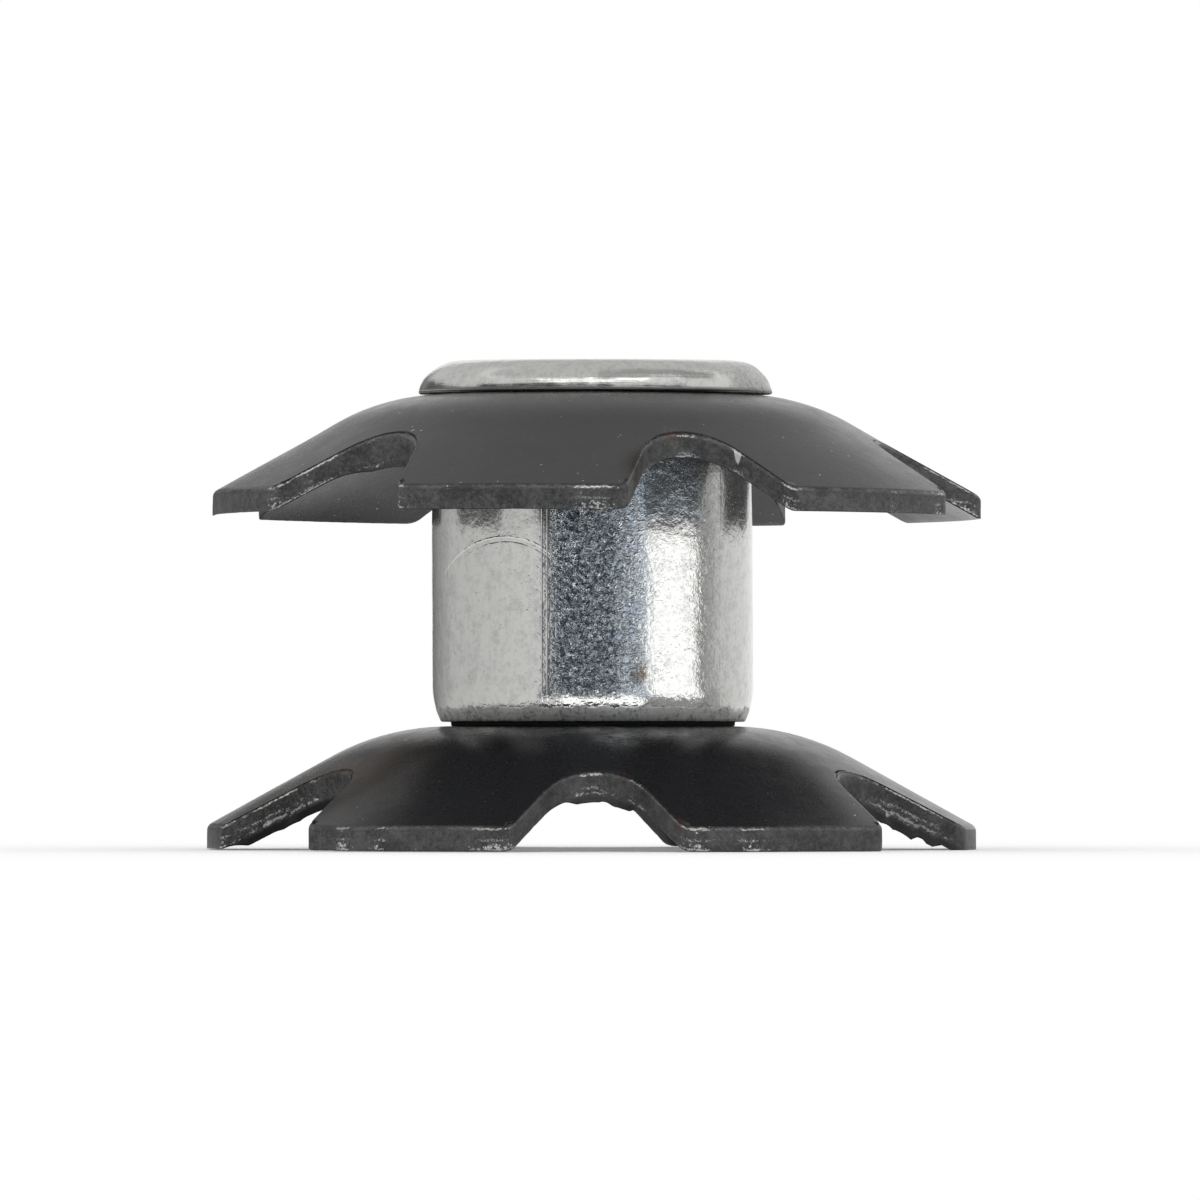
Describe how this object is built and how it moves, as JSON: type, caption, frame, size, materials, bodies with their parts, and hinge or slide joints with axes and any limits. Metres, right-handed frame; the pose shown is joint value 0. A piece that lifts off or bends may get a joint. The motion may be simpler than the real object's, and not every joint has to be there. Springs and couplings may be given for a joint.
{
  "type": "star nut",
  "caption": "Swaged threaded nut body holding domed star washers whose spring tabs grip the inside of a bicycle's fork steerer tube.",
  "frame": {"origin": "on the thread's axis, level with the ends of the lower star's tabs, which the nut stands on", "axes": "+Z along the thread's axis, from the lower star to the upper one, which is the way the nut is driven into a steerer; a notch of the lower star is centred on -Y"},
  "size_m": [0.026, 0.026, 0.0165],
  "materials": {
    "zinc_plate": "bright zinc plate, slightly mottled and scuffed",
    "black_spring_steel": "black heat-treated spring steel, satin and oily, worn bright along its cut edges"
  },
  "bodies": {
    "root": {"nut_body": "zinc_plate", "upper_star": "black_spring_steel", "lower_star": "black_spring_steel"}
  },
  "joints": []
}
